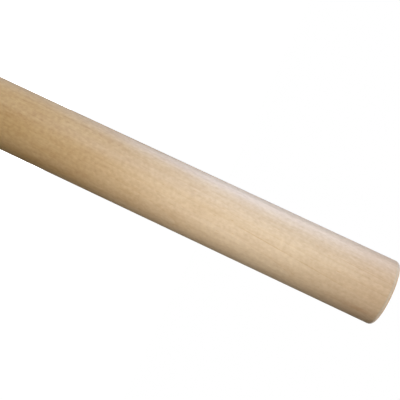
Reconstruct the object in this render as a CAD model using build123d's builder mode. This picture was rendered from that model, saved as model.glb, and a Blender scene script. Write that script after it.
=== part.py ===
from build123d import *
import os

# A plain dowel rod: one straight round length milled from pale hardwood,
# cut square at both ends, with the rim of each end eased by sanding.
# Millimetres, +Z up. The rod stands on its foot end, its axis is the Z axis,
# and the origin is the centre of the foot's flat face.

rod_diameter = 31.75        # 1 1/4 in stock
rod_length = 304.8          # 12 in, from one end face to the other
top_edge_radius = 2.0       # eased rim round the upper end face
foot_edge_radius = 2.0      # eased rim round the lower end face

os.makedirs("parts", exist_ok=True)

with BuildPart() as dowel_rod:
    with BuildSketch(Plane.XY):
        Circle(rod_diameter / 2)
    extrude(amount=rod_length)
    rims = dowel_rod.edges().filter_by(GeomType.CIRCLE).sort_by(Axis.Z)
    fillet(rims[-1], radius=top_edge_radius)
    fillet(rims[0], radius=foot_edge_radius)

dowel_rod.part.label = "dowel_rod"
export_step(dowel_rod.part, "parts/dowel_rod.step")
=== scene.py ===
import math
import bmesh
import bpy
from mathutils import Matrix, Vector, noise


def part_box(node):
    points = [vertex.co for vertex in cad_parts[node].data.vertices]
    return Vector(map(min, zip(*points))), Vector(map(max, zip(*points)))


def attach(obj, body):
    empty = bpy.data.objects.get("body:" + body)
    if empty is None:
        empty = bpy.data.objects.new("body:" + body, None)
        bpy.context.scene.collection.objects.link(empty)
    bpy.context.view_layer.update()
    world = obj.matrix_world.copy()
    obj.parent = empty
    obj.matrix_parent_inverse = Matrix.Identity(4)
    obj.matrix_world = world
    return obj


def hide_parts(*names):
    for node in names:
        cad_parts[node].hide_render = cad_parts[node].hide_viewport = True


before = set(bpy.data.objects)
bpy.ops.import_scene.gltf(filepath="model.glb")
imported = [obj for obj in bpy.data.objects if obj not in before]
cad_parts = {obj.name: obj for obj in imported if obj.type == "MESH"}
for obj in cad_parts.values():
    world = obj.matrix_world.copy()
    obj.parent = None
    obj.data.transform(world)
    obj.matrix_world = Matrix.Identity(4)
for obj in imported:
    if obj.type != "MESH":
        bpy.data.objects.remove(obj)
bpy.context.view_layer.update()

# A bare dowel rod standing on its end, in metres. +Z is up and the Z axis is the rod's own.


def mm(value):
    return value / 1000


def linear(hexColour, alpha=1.0):
    # sRGB hex to the linear values that Blender's sockets take
    channels = [int(hexColour[i:i + 2], 16) / 255 for i in (1, 3, 5)]
    return [c / 12.92 if c <= 0.04045 else ((c + 0.055) / 1.055) ** 2.4 for c in channels] + [alpha]


def addNode(tree, kind, inputs=None, **settings):
    # one node: settings are its own properties; an input is a value, a socket, or a node, whose first
    # output in use is then taken. Mix takes its inputs by place: 0 is the factor, then numbers at 2 and 3,
    # vectors at 4 and 5, colours at 6 and 7
    node = tree.nodes.new("ShaderNode" + kind)
    for name, value in settings.items():
        setattr(node, name, value)
    for name, value in (inputs or {}).items():
        if isinstance(value, bpy.types.Node):
            value = next(output for output in value.outputs if output.enabled)
        if isinstance(value, bpy.types.NodeSocket):
            tree.links.new(value, node.inputs[name])
        else:
            node.inputs[name].default_value = value
    return node


def emptyTree(owner):
    owner.use_nodes = True
    owner.node_tree.nodes.clear()
    return owner.node_tree


rod = {
    "node": "dowel_rod",
    "slot": "pale_hardwood",
    "columns": 160,          # round the rod
    "wallRows": 230,         # up the straight wall
    "rimRows": 10,           # over each eased rim
    "faceRings": 9,          # across each end face
    "rimRadius": mm(2.0),    # the eased rim, as in the CAD
    "rimWander": mm(0.25),   # sanded by hand, so the rim isn't quite even
    "rimWaves": 1.3,         # how often it wanders, going round
    "footSeed": 3.0,         # a seed for each end, so that its rim wanders in its own way
    "topSeed": 11.0,
    "wallHollow": mm(0.03),  # depth of the long shallow hollows that sanding leaves
    "hollowLength": mm(70),
    "hollowWidth": mm(9),
    "mapMargin": 0.004,      # round each island of the bake map
    "mapWall": 0.745,        # share of the map's height that the unrolled wall takes
    "mapFace": 1.02,         # room for an end face, as a share of its size
}


def hollow(angle, height, radius):
    # 0 to 1, smooth, long along the rod and narrow across it
    across = radius / rod["hollowWidth"]
    place = Vector((math.cos(angle) * across, math.sin(angle) * across, height / rod["hollowLength"]))
    return 0.5 + 0.5 * noise.noise(place)


def rodProfile(length):
    # the rings from the foot's face to the top's: what each lies on, its share or rim angle, its height
    rings = []
    rimAngles = [math.pi / 2 * i / rod["rimRows"] for i in range(rod["rimRows"] + 1)]
    rim = rod["rimRadius"]
    for i in range(1, rod["faceRings"]):
        rings.append(("foot", i / rod["faceRings"], 0.0))
    for angle in rimAngles:
        rings.append(("footRim", angle, 0.0))
    for i in range(1, rod["wallRows"]):
        rings.append(("wall", 0.0, rim + (length - 2 * rim) * i / rod["wallRows"]))
    for angle in reversed(rimAngles):
        rings.append(("topRim", angle, length))
    for i in range(rod["faceRings"] - 1, 0, -1):
        rings.append(("top", i / rod["faceRings"], length))
    return rings


def rodPoint(kind, value, height, angle, radius, length):
    # one point of the surface; every change is inward, so the rod stays inside its CAD size
    seed = rod["footSeed"] if kind.startswith("foot") else rod["topSeed"]
    waves = rod["rimWaves"]
    wave = noise.noise(Vector((math.cos(angle) * waves, math.sin(angle) * waves, seed)))
    rim = rod["rimRadius"] + rod["rimWander"] * wave
    wall = radius - rod["wallHollow"] * hollow(angle, height, radius)
    if kind == "wall":
        r, z = wall, height
    elif kind in ("footRim", "topRim"):
        r = wall - rim * (1 - math.sin(value))
        rise = rim * (1 - math.cos(value))
        z = rise if kind == "footRim" else length - rise
    else:
        r = (wall - rim) * value
        z = height
    return Vector((r * math.cos(angle), r * math.sin(angle), z))


def buildRod(low, high):
    radius = min(-low.x, high.x, -low.y, high.y)
    length = high.z - low.z
    rings = rodProfile(length)
    columns = rod["columns"]
    bm = bmesh.new()
    rows = []
    for kind, value, height in rings:
        row = []
        for c in range(columns):
            angle = 2 * math.pi * c / columns
            point = rodPoint(kind, value, height, angle, radius, length)
            row.append(bm.verts.new(point + Vector((0, 0, low.z))))
        rows.append(row)
    footCentre = bm.verts.new((0, 0, low.z))
    topCentre = bm.verts.new((0, 0, high.z))

    # the bake map: the wall unrolled over most of it, the two end faces in the strip above
    layer = bm.loops.layers.uv.new("OFBake")
    margin = rod["mapMargin"]
    rimArc = rod["rimRadius"] * math.pi / 2
    unrolled = length - 2 * rod["rimRadius"] + 2 * rimArc
    discRoom = 1 - rod["mapWall"] - 3 * margin
    faceRadius = radius - rod["rimRadius"]

    def wallPlace(kind, value, height, column):
        along = {
            "footRim": rimArc * value / (math.pi / 2),
            "wall": rimArc + height - rod["rimRadius"],
            "topRim": unrolled - rimArc * value / (math.pi / 2),
        }[kind]
        u = margin + (1 - 2 * margin) * column / columns
        return u, margin + (rod["mapWall"] - margin) * along / unrolled

    def discPlace(point, side):
        centreU = margin + discRoom / 2 + side * (discRoom + 2 * margin)
        centreV = rod["mapWall"] + 2 * margin + discRoom / 2
        scale = discRoom / 2 / (faceRadius * rod["mapFace"])
        return centreU + point.x * scale, centreV + point.y * scale

    def addFace(corners, places):
        face = bm.faces.new(corners)
        face.smooth = True
        for loop, place in zip(face.loops, places):
            loop[layer].uv = place

    for r in range(len(rings) - 1):
        lower, upper = rings[r], rings[r + 1]
        onFoot = lower[0] == "foot"    # an end face runs out to the rim's first ring
        onTop = upper[0] == "top"
        for c in range(columns):
            d = (c + 1) % columns
            corners = (rows[r][c], rows[r][d], rows[r + 1][d], rows[r + 1][c])
            if onFoot or onTop:
                places = [discPlace(v.co, 1 if onTop else 0) for v in corners]
            else:
                places = [wallPlace(*lower, c), wallPlace(*lower, c + 1),
                          wallPlace(*upper, c + 1), wallPlace(*upper, c)]
            addFace(corners, places)
    for c in range(columns):
        d = (c + 1) % columns
        foot = (footCentre, rows[0][d], rows[0][c])
        top = (topCentre, rows[-1][c], rows[-1][d])
        addFace(foot, [discPlace(v.co, 0) for v in foot])
        addFace(top, [discPlace(v.co, 1) for v in top])

    mesh = bpy.data.meshes.new("dowelRod")
    bm.to_mesh(mesh)
    bm.free()
    piece = bpy.data.objects.new("dowelRod", mesh)
    bpy.context.scene.collection.objects.link(piece)
    return piece


# Bare birch, milled round and sanded, with no finish on it. The cutter and the paper leave the side grain
# smooth enough for a soft satin light and a pale bloom at a low angle; the cut ends are darker and rougher.
# Birch keeps its pores and its year rings faint, so what shows is a close, quiet grain along the rod.
# Places in the wood are in mm. A size is a pair: across the grain, and along it.
birch = {
    "pale": "#E3CCAD",           # the side grain moves between these two tones
    "deep": "#C9AD8B",
    "footPaleShaded": "#CDAC78",       # the wood turns browner and darker towards the foot: partly its own tone, partly painted shade for the light falling off there
    "footDeepShaded": "#AC834E",
    "footShadeFull": mm(110),         # brownest below this height
    "footShadeNone": mm(245),         # and pale above this one
    "footShadeWander": mm(40),        # the change between them wanders by this much
    "topShadeTint": "#F7F1ED",        # and hardly darker over the top end: partly the wood's own tone, partly painted shade where the light falls off
    "topShadeNone": mm(262),
    "topShadeFull": mm(296),
    "pithAway": 70.0,            # from the rod's axis to the centre of the tree
    "pithSide": -45.0,           # degrees, the side that the rings bulge to
    "pithLean": 2.21,            # degrees between the rod's axis and the tree's
    "bend": {"size": (24.0, 75.0), "detail": 1.0, "seed": 0.0},
    "bendReach": 1.2,            # the grain wanders by this much at most
    "ringStep": 2.2,             # a year's wood
    "ringShift": 0.62,           # of a year
    "lateSharpness": 12.0,       # leaves about 0.12 mm of late wood at the end of a year
    "ringColour": "#FAF6F0",
    # the few growth lines that do show: years out from the pith, half width in years, the height where
    # each is clearest, how far it runs up and down from there, and its tint
    "growthLines": (
        (34.00, 0.08, mm(244), mm(62), "#EFE5D7"),
        (34.42, 0.15, mm(290), mm(30), "#F9F1EB"),
        (31.20, 0.12, mm(288), mm(34), "#F6EEE4"),
    ),
    "gap": {"size": (2.0, 26.0), "detail": 1.0, "seed": 31.0},
    "gapRange": (0.45, 0.58),    # below these values a growth line breaks off
    # what gives the side grain its tone; a share is how far it moves the wood from deep to pale. Real
    # fibres are 0.03 mm wide, and flecks, the ends of small rays, 0.1 by 0.5 mm: both are drawn as coarse
    # as they need to show
    "fibre": {"size": (0.6, 2.5), "detail": 2.0, "seed": 0.0, "share": 0.45},
    "fleck": {"size": (1.4, 1.9), "detail": 1.0, "seed": 50.0, "share": 0.90},
    "streak": {"size": (2.0, 26.0), "detail": 1.0, "seed": 27.0, "share": 0.60},
    "cloud": {"size": (9.0, 28.0), "detail": 2.0, "seed": 57.0, "share": 0.45},
    "seasonTint": "#FCFAF7",     # the wood deepens a little over each year
    "vessel": (1.1, 9.0),        # from one vessel line to the next
    "vesselWidth": (0.14, 0.05),  # of that step: 0.3 mm lines, twice the real size so that they show
    "vesselColour": "#EFE3D2",
    "rimHighlightTurn": (0.01, 0.20),     # how far the surface turns to face up or down where the rims carry a painted highlight
    "endTurn": (0.45, 0.95),     # and where end grain shows
    "rimHighlightColour": "#BEB9AE",      # a painted highlight, pale and grey, where the surface rounds the rims
    "rimHighlightShare": 0.4,
    "endTint": "#F5ECDF",        # end grain drinks the light
    "endSeason": "#E8D6BE",
    "ray": (0.30, 6.0),          # on the ends: width, and length outward from the pith
    "rayRange": (0.45, 0.80),
    "rayTint": "#F3E2C8",
    "rayShare": 0.25,
    "poreStep": 0.55,            # real pores are 0.1 mm, too fine to show
    "poreRange": (0.30, 0.12),
    "poreTint": "#DEC6A4",
    "sawMark": 0.9,              # from one of the saw's marks to the next, on the ends
    "sawLong": 30.0,
    "sawTurn": 20.0,             # degrees
    "grainDepth": mm(0.02),
    "sawDepth": mm(0.02),
    "roughness": 0.45,
    "roughnessSpread": 0.14,
    "endRoughness": 0.62,
    "ior": 1.5,
    "sheen": 0.08,               # the short fibres that sanding raises
    "sheenRoughness": 0.5,
}


def grainNoise(tree, grain, layer):
    # soft noise, drawn out along the grain
    wide, long = layer["size"]
    seed = layer["seed"]
    place = addNode(tree, "Mapping", {
        "Vector": grain, "Location": (seed, seed, seed), "Scale": (1 / wide, 1 / wide, 1 / long)})
    return addNode(tree, "TexNoise", {"Vector": place, "Scale": 1.0, "Detail": layer["detail"]})


def addUp(tree, start, parts):
    # start plus each value times its share, where a value of a half changes nothing
    total = start - sum(share for _, share in parts) / 2
    for value, share in parts:
        total = addNode(tree, "Math", {0: value, 1: share, 2: total}, operation="MULTIPLY_ADD")
    return total


def tintIn(tree, colour, steps):
    # multiplies a colour by each tint, as far as that tint's factor says
    for factor, tint in steps:
        colour = addNode(tree, "Mix", {0: factor, 6: colour, 7: linear(tint)},
                         data_type="RGBA", blend_type="MULTIPLY")
    return colour


def treeFrame(tree, place):
    # the tree's own frame in mm, with z up its pith, so that grain and rings lean with it
    side = math.radians(birch["pithSide"])
    lean = math.radians(birch["pithLean"])
    towards = Vector((math.cos(side), math.sin(side), 0))
    return addNode(tree, "Mapping", {
        "Vector": place,
        "Location": towards * mm(-birch["pithAway"]),
        "Rotation": (-towards.y * lean, towards.x * lean, 0),
        "Scale": (mm(1), mm(1), mm(1)),
    }, vector_type="TEXTURE")


def yearRings(tree, grain):
    # years out from the pith, how far through its year the wood is, and the faint late wood that ends each
    across = addNode(tree, "VectorMath", {0: grain, 1: (1, 1, 0)}, operation="MULTIPLY")
    fromPith = addNode(tree, "VectorMath", {0: across}, operation="LENGTH")
    years = addNode(tree, "Math", {0: fromPith, 1: 1 / birch["ringStep"], 2: birch["ringShift"]},
                    operation="MULTIPLY_ADD")
    season = addNode(tree, "Math", {0: years}, operation="FRACT")
    year = addNode(tree, "Math", {0: years}, operation="FLOOR")
    late = addNode(tree, "Math", {0: season, 1: birch["lateSharpness"]}, operation="POWER")
    luck = addNode(tree, "TexWhiteNoise", {"W": year}, noise_dimensions="1D")
    lateWood = addNode(tree, "Math", {0: late, 1: luck.outputs["Value"]}, operation="MULTIPLY")
    return years, season, lateWood


def awayFrom(tree, value, centre, reach):
    # 1 at the centre, falling softly to 0 at its reach on both sides
    offset = addNode(tree, "Math", {0: value, 1: centre}, operation="SUBTRACT")
    away = addNode(tree, "Math", {0: offset}, operation="ABSOLUTE")
    return addNode(tree, "MapRange", {"Value": away, "From Min": reach, "From Max": 0.0},
                   interpolation_type="SMOOTHSTEP")


def raysAndPores(tree, grain):
    # what the cut ends show: pale rays running out from the pith, and the open ends of the vessels
    parts = addNode(tree, "SeparateXYZ", {0: grain})
    turn = addNode(tree, "Math", {0: parts.outputs["Y"], 1: parts.outputs["X"]}, operation="ARCTAN2")
    wide, long = birch["ray"]
    roundStep = addNode(tree, "Math", {0: turn, 1: birch["pithAway"] / wide}, operation="MULTIPLY")
    outStep = addNode(tree, "Math", {0: parts.outputs["X"], 1: 1 / long}, operation="MULTIPLY")
    rayPlace = addNode(tree, "CombineXYZ", {"X": roundStep, "Y": outStep})
    rayNoise = addNode(tree, "TexNoise", {"Vector": rayPlace, "Scale": 1.0, "Detail": 1.0})
    ray = addNode(tree, "MapRange", {
        "Value": rayNoise, "From Min": birch["rayRange"][0], "From Max": birch["rayRange"][1],
        "To Max": birch["rayShare"]}, interpolation_type="SMOOTHSTEP")
    poreCells = addNode(tree, "TexVoronoi", {"Vector": grain, "Scale": 1 / birch["poreStep"]},
                        voronoi_dimensions="2D")
    pore = addNode(tree, "MapRange", {
        "Value": poreCells, "From Min": birch["poreRange"][0], "From Max": birch["poreRange"][1]},
        interpolation_type="SMOOTHSTEP")
    return ray, pore


def sandedBirch():
    material = bpy.data.materials.new("sandedBirch")
    tree = emptyTree(material)
    place = addNode(tree, "TexCoord")
    straight = treeFrame(tree, place.outputs["Object"])
    bend = grainNoise(tree, straight, birch["bend"])
    centred = addNode(tree, "VectorMath", {0: bend.outputs["Color"], 1: (0.5, 0.5, 0.5)},
                      operation="SUBTRACT")
    reach = birch["bendReach"]
    grain = addNode(tree, "VectorMath", {0: centred, 1: (reach, reach, 0), 2: straight},
                    operation="MULTIPLY_ADD")

    # side grain: it moves between its deep and its pale tone, and both turn browner towards the foot,
    # partly as the wood's own tone and partly as painted shade
    layers = {name: grainNoise(tree, grain, birch[name]) for name in ("fibre", "fleck", "streak", "cloud")}
    years, season, lateWood = yearRings(tree, grain)
    tone = addUp(tree, 0.5, [(value, birch[name]["share"]) for name, value in layers.items()])
    upper = addNode(tree, "Mix", {0: tone, 6: linear(birch["deep"]), 7: linear(birch["pale"])},
                    data_type="RGBA")
    lower = addNode(tree, "Mix", {0: tone, 6: linear(birch["footDeepShaded"]), 7: linear(birch["footPaleShaded"])},
                    data_type="RGBA")
    height = addNode(tree, "SeparateXYZ", {0: place.outputs["Object"]}).outputs["Z"]
    # the darkening towards the foot is partly painted shade, where the light falls off
    wander = addUp(tree, 0.0, [(layers["cloud"], birch["footShadeWander"])])
    wandering = addNode(tree, "Math", {0: height, 1: wander}, operation="ADD")
    footShading = addNode(tree, "MapRange", {
        "Value": wandering, "From Min": birch["footShadeNone"], "From Max": birch["footShadeFull"]},
        interpolation_type="SMOOTHSTEP")
    # a little darker over the top end: partly painted shade where the light falls off
    topShading = addNode(tree, "MapRange", {
        "Value": height, "From Min": birch["topShadeNone"], "From Max": birch["topShadeFull"]})
    plain = addNode(tree, "Mix", {0: footShading, 6: upper, 7: lower}, data_type="RGBA")

    # the growth lines come and go along the grain; vessels are short dark lines
    gaps = grainNoise(tree, grain, birch["gap"])
    unbroken = addNode(tree, "MapRange", {
        "Value": gaps, "From Min": birch["gapRange"][0], "From Max": birch["gapRange"][1]},
        interpolation_type="SMOOTHSTEP")
    lines = []
    for yearsOut, halfWidth, middle, run, tint in birch["growthLines"]:
        onLine = awayFrom(tree, years, yearsOut, halfWidth)
        strength = addNode(tree, "Math", {0: unbroken, 1: awayFrom(tree, height, middle, run)},
                           operation="MULTIPLY")
        lines.append((addNode(tree, "Math", {0: onLine, 1: strength}, operation="MULTIPLY"), tint))
    wide, long = birch["vessel"]
    vesselPlace = addNode(tree, "Mapping", {"Vector": grain, "Scale": (1 / wide, 1 / wide, 1 / long)})
    vesselCells = addNode(tree, "TexVoronoi", {"Vector": vesselPlace, "Scale": 1.0})
    vessel = addNode(tree, "MapRange", {
        "Value": vesselCells, "From Min": birch["vesselWidth"][0], "From Max": birch["vesselWidth"][1]},
        interpolation_type="SMOOTHSTEP")
    side = tintIn(tree, plain, [
        (topShading, birch["topShadeTint"]), (season, birch["seasonTint"]), (lateWood, birch["ringColour"]),
        (vessel, birch["vesselColour"])] + lines)

    # the rims' painted highlight, and end grain where the surface turns to face up or down
    facing = addNode(tree, "SeparateXYZ", {0: place.outputs["Normal"]}).outputs["Z"]
    upright = addNode(tree, "Math", {0: facing}, operation="ABSOLUTE")
    onRimHighlight = addNode(tree, "MapRange", {
        "Value": upright, "From Min": birch["rimHighlightTurn"][0], "From Max": birch["rimHighlightTurn"][1],
        "To Max": birch["rimHighlightShare"]}, interpolation_type="SMOOTHSTEP")
    onEnd = addNode(tree, "MapRange", {
        "Value": upright, "From Min": birch["endTurn"][0], "From Max": birch["endTurn"][1]},
        interpolation_type="SMOOTHSTEP")
    ray, pore = raysAndPores(tree, grain)
    cut = tintIn(tree, side, [
        (1.0, birch["endTint"]), (season, birch["endSeason"]), (pore, birch["poreTint"])])
    end = addNode(tree, "Mix", {0: ray, 6: cut, 7: linear(birch["rayTint"])}, data_type="RGBA")
    # painted highlight: the rims are mixed towards a pale grey
    rimHighlighted = addNode(tree, "Mix", {0: onRimHighlight, 6: side, 7: linear(birch["rimHighlightColour"])}, data_type="RGBA")
    colour = addNode(tree, "Mix", {0: onEnd, 6: rimHighlighted, 7: end}, data_type="RGBA")

    # gloss follows the fibres; the sawn ends scatter the light
    sideRoughness = addUp(tree, birch["roughness"], [(layers["fibre"], birch["roughnessSpread"])])
    roughness = addNode(tree, "Mix", {0: onEnd, 2: sideRoughness, 3: birch["endRoughness"]})
    sawPlace = addNode(tree, "Mapping", {
        "Vector": straight,
        "Rotation": (0, 0, math.radians(birch["sawTurn"])),
        "Scale": (1 / birch["sawMark"], 1 / birch["sawLong"], 0)})
    saw = addNode(tree, "TexNoise", {"Vector": sawPlace, "Scale": 1.0, "Detail": 1.0})
    grainBump = addNode(tree, "Bump", {
        "Height": layers["fibre"], "Distance": birch["grainDepth"], "Strength": 1.0})
    sawBump = addNode(tree, "Bump", {"Height": saw, "Distance": birch["sawDepth"], "Strength": 1.0})
    normal = addNode(tree, "Mix", {0: onEnd, 4: grainBump, 5: sawBump}, data_type="VECTOR")
    shader = addNode(tree, "BsdfPrincipled", {
        "Base Color": colour,
        "Roughness": roughness,
        "IOR": birch["ior"],
        "Normal": normal,
        "Sheen Weight": birch["sheen"],
        "Sheen Roughness": birch["sheenRoughness"],
    })
    addNode(tree, "OutputMaterial", {"Surface": shader})
    return material


studio = {
    "floorSize": 8.0,
    "floorColour": "#C4C4C4",
    "shadowGlow": 0.60,      # how far the floor's own white lifts the shadow at the foot
    "shadowNear": mm(60),    # from here outward the floor turns plain white
    "shadowReach": mm(150),
    "ambient": 0.02,         # the room's own light, as a share of white
    "cardNear": mm(70),      # the dark cards lie on the floor from here outward
    "cardAway": 0.50,        # and stand up at this distance from the rod's axis
    "cardHeight": 0.60,
    "cardLift": mm(1),       # the lying part is this far above the floor
    "cards": (               # azimuths in degrees
        {"from": 95, "to": 172, "colour": "#1C1C1C"},
        {"from": -172, "to": -125, "colour": "#5A7FA6"},  # slate blue, for a cool grey line down that edge
    ),
    "cardSteps": 12,
}

# azimuth 0 is in front, at -Y, and 90 is at +X; metres and watts. Each faces the rod at its own aim height.
lamps = {
    "key": {
        "azimuth": -16, "distance": 0.45, "height": 0.26, "aim": 0.26,
        "wide": 0.36, "tall": 0.18, "watts": 0.90, "colour": "#FEF7E3", "gloss": True,
    },
    "nearRight": {
        "azimuth": 28, "distance": 0.15, "height": 0.22, "aim": 0.22,
        "wide": 0.10, "tall": 0.06, "watts": 0.086, "colour": "#FFFBF6", "gloss": True,
    },
    "left": {
        "azimuth": -94, "distance": 0.45, "height": 0.28, "aim": 0.28,
        "wide": 0.38, "tall": 0.22, "watts": 1.17, "colour": "#DBE4FF", "gloss": True,
    },
    "backLeft": {
        "azimuth": -116, "distance": 0.80, "height": 0.10, "aim": 0.10,
        "wide": 0.34, "tall": 0.30, "watts": 1.50, "colour": "#A9C8FF", "gloss": True,
    },
    "lowLeft": {
        "azimuth": -40, "distance": 0.80, "height": 0.08, "aim": 0.08,
        "wide": 0.34, "tall": 0.20, "watts": 2.14, "colour": "#C4DDFF", "gloss": True,
    },
    "behindRight": {
        "azimuth": 166, "distance": 0.45, "height": 0.20, "aim": 0.20,
        "wide": 0.08, "tall": 0.40, "watts": 1.4, "colour": "#FFFFFF", "gloss": False,
    },
    "behind": {
        "azimuth": 184, "distance": 0.45, "height": 0.20, "aim": 0.20,
        "wide": 0.10, "tall": 0.40, "watts": 0.8, "colour": "#FFFFFF", "gloss": False,
    },
    "overhead": {
        "azimuth": 0, "distance": 0.0, "height": 0.55, "aim": 0.15,
        "wide": 0.08, "tall": 0.08, "watts": 0.50, "colour": "#FFFFFF", "gloss": False,
    },
}

view = {
    "distance": mm(329.0),   # from the rod's axis
    "height": mm(233.5),     # above the foot
    "turn": 0.507,           # degrees to the left of the axis
    "tilt": -4.27,           # degrees, looking a little down
    "roll": 115.10,          # the camera is turned well over, so the rod lies across the view
    "lens": 63.0,            # mm
    "sensor": 36.0,          # mm
}


def seenDirectly(tree):
    # 1 for what the camera sees, and for what gloss or glass would show of it
    path = addNode(tree, "LightPath")
    glossy = addNode(tree, "Math", {0: path.outputs["Is Camera Ray"], 1: path.outputs["Is Glossy Ray"]},
                     operation="ADD", use_clamp=True)
    return addNode(tree, "Math", {0: glossy, 1: path.outputs["Is Transmission Ray"]},
                   operation="ADD", use_clamp=True)


def rolledWhitePaint():
    # a board rolled with matt white paint: it shows the rod's shadow softly and nothing else
    material = bpy.data.materials.new("rolledWhitePaint")
    tree = emptyTree(material)
    matt = addNode(tree, "BsdfDiffuse", {"Color": linear(studio["floorColour"])})
    place = addNode(tree, "TexCoord")
    away = addNode(tree, "VectorMath", {0: place.outputs["Object"]}, operation="LENGTH")
    glow = addNode(tree, "MapRange", {
        "Value": away, "From Min": studio["shadowNear"], "From Max": studio["shadowReach"],
        "To Min": studio["shadowGlow"], "To Max": 1.0}, interpolation_type="SMOOTHSTEP")
    white = addNode(tree, "Emission", {"Color": (1, 1, 1, 1), "Strength": glow})
    both = addNode(tree, "AddShader", {0: matt, 1: white})
    seen = addNode(tree, "MixShader", {0: seenDirectly(tree), 1: matt, 2: both})
    addNode(tree, "OutputMaterial", {"Surface": seen})
    return material


def woolFelt(colour):
    # pressed wool felt, dyed dark: it drinks most of the light and has no gloss
    material = bpy.data.materials.new("woolFelt")
    tree = emptyTree(material)
    felt = addNode(tree, "BsdfDiffuse", {"Color": linear(colour)})
    addNode(tree, "OutputMaterial", {"Surface": felt})
    return material


def flatPiece(name, quads, material):
    # a stage piece from its corner points, four to a face
    bm = bmesh.new()
    for quad in quads:
        bm.faces.new([bm.verts.new(point) for point in quad])
    mesh = bpy.data.meshes.new(name)
    bm.to_mesh(mesh)
    bm.free()
    mesh.materials.append(material)
    stagePiece = bpy.data.objects.new(name, mesh)
    bpy.context.scene.collection.objects.link(stagePiece)
    return stagePiece


def buildFloor(height):
    half = studio["floorSize"] / 2
    corners = [(x * half, y * half, height) for x, y in ((-1, -1), (1, -1), (1, 1), (-1, 1))]
    flatPiece("floor", [corners], rolledWhitePaint())


def buildDarkCards(height):
    # dark cards behind the rod, right and left, give its two edges their outline; the camera doesn't
    # see them, and they throw no shadow
    foot = height + studio["cardLift"]
    head = height + studio["cardHeight"]
    near, away = studio["cardNear"], studio["cardAway"]
    for arc in studio["cards"]:
        start, end = arc["from"], arc["to"]
        rays = []
        for i in range(studio["cardSteps"] + 1):
            turn = math.radians(start + (end - start) * i / studio["cardSteps"])
            rays.append((math.sin(turn), -math.cos(turn)))
        quads = []
        for (ax, ay), (bx, by) in zip(rays, rays[1:]):
            lowA, lowB = (ax * away, ay * away, foot), (bx * away, by * away, foot)
            quads.append((lowA, lowB, (bx * away, by * away, head), (ax * away, ay * away, head)))
            quads.append(((ax * near, ay * near, foot), (bx * near, by * near, foot), lowB, lowA))
        card = flatPiece("darkCard", quads, woolFelt(arc["colour"]))
        card.visible_camera = False
        card.visible_shadow = False


def buildWorld():
    world = bpy.data.worlds.new("studio")
    bpy.context.scene.world = world
    tree = emptyTree(world)
    white = addNode(tree, "Background", {"Color": (1, 1, 1, 1), "Strength": 1.0})
    soft = addNode(tree, "Background", {"Color": (1, 1, 1, 1), "Strength": studio["ambient"]})
    seen = addNode(tree, "MixShader", {0: seenDirectly(tree), 1: soft, 2: white})
    addNode(tree, "OutputWorld", {"Surface": seen})


def buildLamps():
    for name, lamp in lamps.items():
        data = bpy.data.lights.new(name, "AREA")
        data.shape = "RECTANGLE"
        data.size = lamp["wide"]
        data.size_y = lamp["tall"]
        data.energy = lamp["watts"]
        data.color = linear(lamp["colour"])[:3]
        turn = math.radians(lamp["azimuth"])
        place = Vector((math.sin(turn), -math.cos(turn), 0)) * lamp["distance"]
        place.z = lamp["height"]
        light = bpy.data.objects.new(name, data)
        light.location = place
        light.rotation_euler = (Vector((0, 0, lamp["aim"])) - place).to_track_quat("-Z", "Y").to_euler()
        light.visible_camera = False
        light.visible_glossy = lamp["gloss"]
        bpy.context.scene.collection.objects.link(light)


def buildCamera():
    data = bpy.data.cameras.new("camera")
    data.sensor_width = view["sensor"]
    data.lens = view["lens"]
    camera = bpy.data.objects.new("camera", data)
    place = Matrix.Translation((0, -view["distance"], view["height"]))
    turn = Matrix.Rotation(math.radians(view["turn"]), 4, "Z")
    tilt = Matrix.Rotation(math.radians(90 + view["tilt"]), 4, "X")
    roll = Matrix.Rotation(math.radians(view["roll"]), 4, "Z")
    camera.matrix_world = place @ turn @ tilt @ roll
    bpy.context.scene.collection.objects.link(camera)
    bpy.context.scene.camera = camera


low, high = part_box(rod["node"])
piece = buildRod(low, high)
print("rod:", len(piece.data.polygons), "faces")
piece.data.materials.append(sandedBirch())
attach(piece, "root")
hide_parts(rod["node"])
print("wood: sanded birch on", piece.name)

buildFloor(low.z)
buildDarkCards(low.z)
buildWorld()
buildLamps()
print("studio:", len(lamps), "lamps")
buildCamera()
print("camera:", view["lens"], "mm lens")

bpy.context.scene.view_settings.view_transform = "Standard"
